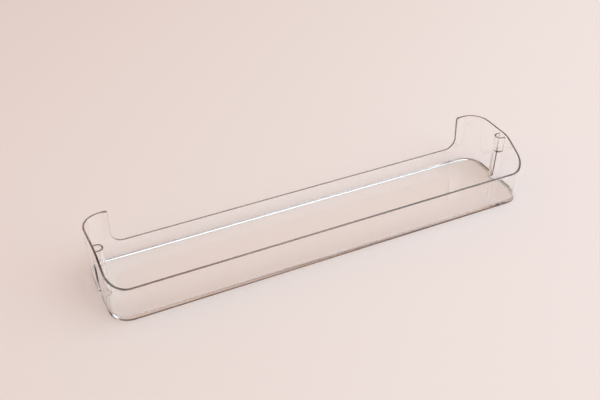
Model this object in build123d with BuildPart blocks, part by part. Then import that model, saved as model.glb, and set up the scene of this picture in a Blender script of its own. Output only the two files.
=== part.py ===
from build123d import *
from math import radians, tan
import os

os.makedirs("parts", exist_ok=True)

# Fridge door shelf, one clear injection-moulded piece, in millimetres.
# X runs along the shelf, Y from the front to the door side, Z up from the underside.

# Tray
base_length = 460.0  # outside, at the underside
base_depth = 94.5  # outside, at the underside
corner_radius = 19.5  # outside corners in plan, at the underside
draft_angle = 1.7  # degrees, every wall opens upwards by this
wall = 2.0
floor_thickness = 2.6
floor_fillet = 3.5  # inside, where the floor runs up into the walls
base_round = 0.6  # outside edge round the underside

# Rim
front_height = 37.9
rear_height = 21.1
wing_height = 59.4
ramp_angle = 27.4  # degrees, slope of the end walls' rim
ramp_foot_radius = 12.0
ramp_head_radius = 30.0
wing_length = 27.5  # from the end of the underside to the wing's free edge
window_radius = 12.5  # inner corners of the low rear rim
wing_corner = 2.0  # top corner of each wing's free edge
rim_bevel = 0.3  # both edges of the rim
bead_width = 4.0  # rib behind each wing's free edge
bead_depth = 0.8  # how proud the rib is at the top, from where it fades out downwards

# Hanging columns, one inside each end wall
column_width = 12.8  # outside, at its foot
column_reach = 9.8  # from the end of the underside to the nose at its foot
column_draft = 0.8  # degrees
column_wall = 1.9
column_drop = 3.2  # top of the column below the wing's rim
stop_height = 37.4  # roof of the channel, where the door's lug stops
stop_web = 2.0  # between the channel and the pocket above it
mouth_round = 1.5  # outer edges of the channel, which lead the lug in

# Worked out from the sizes above
lean = tan(radians(draft_angle))
column_lean = tan(radians(column_draft))
half_length = base_length / 2
front_face = -(base_depth / 2 + lean * front_height)
ramp_run = (wing_height - front_height) / tan(radians(ramp_angle))
inner_lift = lean * floor_thickness
inner_length = base_length + 2 * (inner_lift - wall)
inner_depth = base_depth + 2 * (inner_lift - wall)
inner_corner = corner_radius + inner_lift - wall
pocket_floor = stop_height + stop_web
column_top = wing_height - column_drop
window_half = half_length - wing_length
bead_foot = rear_height + window_radius
bead_top = wing_height - wing_corner
rear_face_top = base_depth / 2 + lean * bead_top
rear_face_foot = base_depth / 2 + lean * bead_foot
channel_half = column_width / 2 - column_wall
channel_nose = half_length - column_reach + column_wall
beyond = base_depth  # how far cutting tools run past the tray


def column_section(side, half_width, nose_x, outer_x):
    """Half-round section with its nose towards the middle of the tray."""
    flank = side * half_width
    nose_start = (side * (nose_x + half_width), flank)
    nose_end = (side * (nose_x + half_width), -flank)
    with BuildSketch() as section:
        with BuildLine():
            ThreePointArc(nose_start, (side * nose_x, 0), nose_end)
            Polyline(nose_end, (side * outer_x, -flank), (side * outer_x, flank), nose_start)
        make_face()
    return section.sketch


def is_rim(face):
    """Whether a face is part of the strip that tops the walls and ends the wings."""
    turned = 0.5  # least share of a face's normal along an axis for the face to look that way
    place = face.center()
    over_column = abs(place.Y) < column_width / 2 and place.Z < column_top + rim_bevel
    looks_up = face.normal_at().Z > turned and place.Z > rear_height - rim_bevel
    ends_wing = abs(face.normal_at().X) > turned and abs(place.X) < window_half + rim_bevel
    return ends_wing or looks_up and not over_column


# Space inside the tray, with the columns left standing in it
with BuildPart() as cavity:
    with BuildSketch(Plane.XY.offset(floor_thickness)):
        RectangleRounded(inner_length, inner_depth, inner_corner)
    extrude(amount=wing_height, taper=-draft_angle)
    fillet(cavity.faces().sort_by(Axis.Z)[0].edges(), floor_fillet)
    for side in (-1, 1):
        foot_half = column_width / 2
        foot_nose = half_length - column_reach
        with BuildSketch(Plane.XY):
            add(column_section(side, foot_half, foot_nose, half_length + beyond))
        extrude(amount=pocket_floor, taper=column_draft, mode=Mode.SUBTRACT)
        rise = column_lean * pocket_floor
        with BuildSketch(Plane.XY.offset(pocket_floor)):
            add(column_section(side, foot_half - rise, foot_nose + rise, half_length + beyond))
            pocket_half = foot_half - rise - column_wall
            pocket_nose = foot_nose + rise + column_wall
            add(column_section(side, pocket_half, pocket_nose, half_length + 2 * beyond), mode=Mode.SUBTRACT)
        extrude(amount=column_top - pocket_floor, mode=Mode.SUBTRACT)

with BuildPart() as door_shelf:
    # Outside of the tray
    with BuildSketch(Plane.XY):
        RectangleRounded(base_length, base_depth, corner_radius)
    extrude(amount=wing_height, taper=-draft_angle)
    fillet(door_shelf.faces().sort_by(Axis.Z)[0].edges(), base_round)
    add(cavity.part, mode=Mode.SUBTRACT)

    # Channels for the door's lugs, open below and to the outside
    for side in (-1, 1):
        with BuildSketch(Plane.XY):
            add(column_section(side, channel_half, channel_nose, half_length + beyond))
        extrude(amount=stop_height, taper=column_draft, mode=Mode.SUBTRACT)
        mouth = edges(Select.LAST).filter_by(
            lambda edge: abs(edge.center().X) > half_length and edge.length > stop_height / 2
        )
        fillet(mouth, mouth_round)

    # Rim of the front and the ends, seen from the end
    with BuildSketch(Plane.YZ):
        with BuildLine():
            ramp_foot = (front_face, front_height)
            ramp_head = (front_face + ramp_run, wing_height)
            rim_line = FilletPolyline(
                (front_face - beyond, front_height),
                ramp_foot,
                ramp_head,
                (ramp_head[0] + beyond, wing_height),
                radius=[ramp_foot_radius, ramp_head_radius],
            )
            Polyline(
                rim_line @ 1,
                (ramp_head[0] + beyond, wing_height + beyond),
                (front_face - beyond, wing_height + beyond),
                rim_line @ 0,
            )
        make_face()
    extrude(amount=half_length + beyond, both=True, mode=Mode.SUBTRACT)

    # Low rear rim between the two wings
    with BuildSketch(Plane.XZ):
        with BuildLine():
            sill = FilletPolyline(
                (-window_half, wing_height + beyond),
                (-window_half, rear_height),
                (window_half, rear_height),
                (window_half, wing_height + beyond),
                radius=window_radius,
            )
            Line(sill @ 1, sill @ 0)
        make_face()
    extrude(amount=-(base_depth / 2 + beyond), mode=Mode.SUBTRACT)

    # Wings' top corners, then both edges of the rim all the way round
    wing_corners = edges().filter_by(Axis.Y).filter_by(
        lambda edge: abs(edge.center().X) < window_half + wall and edge.center().Z > column_top
    )
    fillet(wing_corners, wing_corner)
    strip_edges = [edge for face in faces().filter_by(is_rim) for edge in face.edges()]
    rim_edges = [edge for edge in strip_edges if sum(edge.is_same(other) for other in strip_edges) == 1]
    chamfer(rim_edges, rim_bevel)

    # Ribs behind the wings' free edges
    for start in (-window_half - bead_width, window_half):
        with BuildSketch(Plane.YZ.offset(start)):
            with BuildLine():
                Polyline(
                    (rear_face_foot, bead_foot),
                    (rear_face_top + bead_depth, bead_top),
                    (rear_face_top - wall / 2, bead_top),
                    (rear_face_foot - wall / 2, bead_foot),
                    close=True,
                )
            make_face()
        extrude(amount=bead_width)

door_shelf.part.label = "door_shelf"
export_step(door_shelf.part, "parts/door_shelf.step")
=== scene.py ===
import bmesh
import bpy
from math import cos, radians, sin
from mathutils import Matrix, Vector

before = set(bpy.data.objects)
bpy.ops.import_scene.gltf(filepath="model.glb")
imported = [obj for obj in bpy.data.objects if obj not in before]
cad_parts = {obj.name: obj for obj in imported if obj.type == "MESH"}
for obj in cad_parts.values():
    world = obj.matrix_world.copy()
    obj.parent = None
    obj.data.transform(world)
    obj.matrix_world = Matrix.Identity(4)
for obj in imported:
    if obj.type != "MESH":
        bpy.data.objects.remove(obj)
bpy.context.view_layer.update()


def srgb(red, green, blue):
    # display colour 0-255 to the linear value a shader socket takes
    def linear(channel):
        part = channel / 255
        return part / 12.92 if part <= 0.04045 else ((part + 0.055) / 1.055) ** 2.4
    return (linear(red), linear(green), linear(blue), 1.0)


# clear moulded plastic

plastic = {
    "colour": srgb(255, 255, 255),
    "ior": 1.57,
    "smooth": 0.012,  # roughness where the mould was polished
    "hazy": 0.05,  # roughness where hands have been
    "hazeSize": 18.0,
    "hazeDetail": 5.0,
    "hazeRange": (0.45, 0.75),  # noise values where the haze starts and is full
    "wave": 0.02,  # faint sink and flow of the moulding
    "waveSize": 26.0,
    "waveDetail": 1.0,
    "waveDepth": 0.0006,
    "tint": srgb(205, 188, 180),  # colour the plastic takes over a long way
    "tintDensity": 2.0,
    "shade": srgb(255, 254, 253),  # what one face lets through to the floor
    "edge": srgb(108, 88, 81),  # painted shade: colour that the rim, the wings' free edges and the foot of the walls let through, standing in for light caught inside the walls
    "rimTurn": 0.45,  # least upward share of the normal on the rim
    "rimFoot": 0.012,  # the rim is above this
    "wingTurn": 0.3,  # least sideways share of the normal on a wing's free edge
    "wingEnd": 0.2031,  # the free edges are nearer the middle than this
    "footTurn": 0.97,  # the flat underside has a larger upward share
    "footTop": 0.0023,  # top of the painted shade along the foot of the walls
    "columnHalf": 0.006,  # half the width of a column
    "pocketTop": 0.045,  # above the floor of a column's pocket
    "bottomTurn": 0.8,  # least upward share of the normal on the flat bottom
    "bottomTop": 0.004,  # no higher than this is the flat bottom
    "wallPass": 0.6,  # share of the floor's light that goes straight through a wall
}


def makeMath(tree, operation, *inputs):
    node = tree.nodes.new("ShaderNodeMath")
    node.operation = operation
    for socket, value in zip(node.inputs, inputs):
        if isinstance(value, float):
            socket.default_value = value
        else:
            tree.links.new(value, socket)
    return node.outputs["Value"]


def makePlastic(look):
    material = bpy.data.materials.new("clearPlastic")
    material.use_nodes = True
    tree = material.node_tree
    nodes = tree.nodes
    shader = nodes["Principled BSDF"]
    shader.inputs["IOR"].default_value = look["ior"]
    shader.inputs["Transmission Weight"].default_value = 1.0
    place = nodes.new("ShaderNodeTexCoord")
    haze = nodes.new("ShaderNodeTexNoise")
    haze.inputs["Scale"].default_value = look["hazeSize"]
    haze.inputs["Detail"].default_value = look["hazeDetail"]
    tree.links.new(place.outputs["Object"], haze.inputs["Vector"])
    rough = nodes.new("ShaderNodeMapRange")
    rough.inputs["From Min"].default_value, rough.inputs["From Max"].default_value = look["hazeRange"]
    rough.inputs["To Min"].default_value = look["smooth"]
    rough.inputs["To Max"].default_value = look["hazy"]
    tree.links.new(haze.outputs["Fac"], rough.inputs["Value"])
    tree.links.new(rough.outputs["Result"], shader.inputs["Roughness"])
    flow = nodes.new("ShaderNodeTexNoise")
    flow.inputs["Scale"].default_value = look["waveSize"]
    flow.inputs["Detail"].default_value = look["waveDetail"]
    tree.links.new(place.outputs["Object"], flow.inputs["Vector"])
    bump = nodes.new("ShaderNodeBump")
    bump.inputs["Strength"].default_value = look["wave"]
    bump.inputs["Distance"].default_value = look["waveDepth"]
    tree.links.new(flow.outputs["Fac"], bump.inputs["Height"])
    tree.links.new(bump.outputs["Normal"], shader.inputs["Normal"])
    inside = nodes.new("ShaderNodeVolumeAbsorption")
    inside.inputs["Color"].default_value = look["tint"]
    inside.inputs["Density"].default_value = look["tintDensity"]
    output = nodes["Material Output"]
    tree.links.new(inside.outputs["Volume"], output.inputs["Volume"])
    # painted shade: the rim, the wings' free edges and the foot of the walls are tinted dark brown in
    # the base colour, standing in for light caught inside the walls
    axes = nodes.new("ShaderNodeSeparateXYZ")
    tree.links.new(place.outputs["Normal"], axes.inputs["Vector"])
    spot = nodes.new("ShaderNodeSeparateXYZ")
    tree.links.new(place.outputs["Object"], spot.inputs["Vector"])
    height = spot.outputs["Z"]
    upward = makeMath(tree, "ABSOLUTE", axes.outputs["Z"])
    aside = makeMath(tree, "ABSOLUTE", axes.outputs["X"])
    along = makeMath(tree, "ABSOLUTE", spot.outputs["X"])
    across = makeMath(tree, "ABSOLUTE", spot.outputs["Y"])
    high = makeMath(tree, "GREATER_THAN", height, look["rimFoot"])
    middle = makeMath(tree, "LESS_THAN", across, look["columnHalf"])
    inPocket = makeMath(tree, "LESS_THAN", height, look["pocketTop"])
    inColumn = makeMath(tree, "MULTIPLY", middle, inPocket)
    top = makeMath(tree, "GREATER_THAN", upward, look["rimTurn"])
    top = makeMath(tree, "SUBTRACT", makeMath(tree, "MULTIPLY", top, high), inColumn)
    end = makeMath(tree, "GREATER_THAN", aside, look["wingTurn"])
    end = makeMath(tree, "MULTIPLY", end, makeMath(tree, "LESS_THAN", along, look["wingEnd"]))
    end = makeMath(tree, "MULTIPLY", end, high)
    foot = makeMath(tree, "LESS_THAN", upward, look["footTurn"])
    foot = makeMath(tree, "MULTIPLY", foot, makeMath(tree, "LESS_THAN", height, look["footTop"]))
    edge = makeMath(tree, "MAXIMUM", makeMath(tree, "MAXIMUM", top, end), foot)
    colour = nodes.new("ShaderNodeMix")
    colour.data_type = "RGBA"
    tree.links.new(edge, colour.inputs["Factor"])
    colour.inputs["A"].default_value = look["colour"]
    colour.inputs["B"].default_value = look["edge"]
    tree.links.new(colour.outputs["Result"], shader.inputs["Base Color"])
    # light for the floor passes straight through the tray's flat bottom, the walls bend and stop a part
    path = nodes.new("ShaderNodeLightPath")
    lighting = makeMath(tree, "MAXIMUM", path.outputs["Is Shadow Ray"], path.outputs["Is Diffuse Ray"])
    level = makeMath(tree, "GREATER_THAN", upward, look["bottomTurn"])
    low = makeMath(tree, "LESS_THAN", height, look["bottomTop"])
    share = makeMath(tree, "MAXIMUM", makeMath(tree, "MULTIPLY", level, low), look["wallPass"])
    passing = makeMath(tree, "MULTIPLY", lighting, share)
    clear = nodes.new("ShaderNodeBsdfTransparent")
    clear.inputs["Color"].default_value = look["shade"]
    mix = nodes.new("ShaderNodeMixShader")
    tree.links.new(passing, mix.inputs["Fac"])
    tree.links.new(shader.outputs["BSDF"], mix.inputs[1])
    tree.links.new(clear.outputs["BSDF"], mix.inputs[2])
    tree.links.new(mix.outputs["Shader"], output.inputs["Surface"])
    return material


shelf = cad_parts["door_shelf"]
shelf.data.materials.clear()
shelf.data.materials.append(makePlastic(plastic))
print("plastic done", len(shelf.data.polygons))


# floor

ground = {
    "half": 6.0,
    "drop": 0.0002,  # hair of air under the tray
    "colour": srgb(238, 227, 223),
    "rough": 0.7,
    "shine": 0.2,
}


def makeGround(look):
    mesh = bpy.data.meshes.new("ground")
    shape = bmesh.new()
    bmesh.ops.create_grid(shape, x_segments=1, y_segments=1, size=look["half"])
    bmesh.ops.translate(shape, vec=(0, 0, -look["drop"]), verts=shape.verts)
    shape.to_mesh(mesh)
    shape.free()
    piece = bpy.data.objects.new("ground", mesh)
    bpy.context.scene.collection.objects.link(piece)
    material = bpy.data.materials.new("groundPaint")
    material.use_nodes = True
    shader = material.node_tree.nodes["Principled BSDF"]
    shader.inputs["Base Color"].default_value = look["colour"]
    shader.inputs["Roughness"].default_value = look["rough"]
    shader.inputs["Specular IOR Level"].default_value = look["shine"]
    mesh.materials.append(material)
    return piece


makeGround(ground)
print("floor done")


# light

keyLight = {
    "place": (1.3, -0.9, 1.6),
    "size": (3.6, 3.6),
    "power": 70.0,
    "colour": (0.60, 0.85, 1.0),
}
skyStrength = 0.66
skyColour = srgb(255, 222, 201)


def makeLight(name, look):
    lamp = bpy.data.lights.new(name, "AREA")
    lamp.shape = "RECTANGLE"
    lamp.size, lamp.size_y = look["size"]
    lamp.energy = look["power"]
    lamp.color = look["colour"]
    piece = bpy.data.objects.new(name, lamp)
    place = Vector(look["place"])
    piece.location = place
    piece.rotation_euler = (-place).to_track_quat("-Z", "Y").to_euler()
    bpy.context.scene.collection.objects.link(piece)


makeLight("key", keyLight)
world = bpy.data.worlds.new("room")
world.use_nodes = True
sky = world.node_tree.nodes["Background"]
sky.inputs["Color"].default_value = skyColour
sky.inputs["Strength"].default_value = skyStrength
bpy.context.scene.world = world
print("light done")


# camera, fitted to the photo's edges

view = {
    "lens": 54.43,
    "sensor": 36,
    "azimuth": 26.70,
    "elevation": 35.715,
    "roll": 0.571,
    "distance": 0.9301,
    "aim": (0.0, 0.0, 0.030),
    "aimPixel": (316.1, 207.77),
    "frameSize": (600, 400),
}


def makeCamera(look):
    turn, tilt, roll = (radians(look[key]) for key in ("azimuth", "elevation", "roll"))
    ahead = Vector((sin(turn) * cos(tilt), cos(turn) * cos(tilt), -sin(tilt)))
    level = Vector((cos(turn), -sin(turn), 0))
    top = level.cross(ahead)
    right = cos(roll) * level + sin(roll) * top
    up = cos(roll) * top - sin(roll) * level
    width, height = look["frameSize"]
    pixel = look["distance"] / (look["lens"] / look["sensor"] * width)  # metres a pixel spans at the aim
    aside = (look["aimPixel"][0] - width / 2) * pixel
    below = (look["aimPixel"][1] - height / 2) * pixel
    place = Vector(look["aim"]) - ahead * look["distance"] - right * aside + up * below
    lens = bpy.data.cameras.new("photoView")
    lens.lens = look["lens"]
    lens.sensor_width = look["sensor"]
    lens.sensor_fit = "HORIZONTAL"
    lens.clip_start = 0.01
    piece = bpy.data.objects.new("photoView", lens)
    piece.matrix_world = Matrix((right, up, -ahead)).transposed().to_4x4()
    piece.location = place
    bpy.context.scene.collection.objects.link(piece)
    bpy.context.scene.camera = piece


makeCamera(view)
bpy.context.scene.view_settings.view_transform = "Standard"
# light runs a long way inside the walls before it leaves an edge
lightBounces = 40
cycles = bpy.context.scene.cycles
cycles.max_bounces = cycles.glossy_bounces = cycles.transmission_bounces = lightBounces
print("camera done")
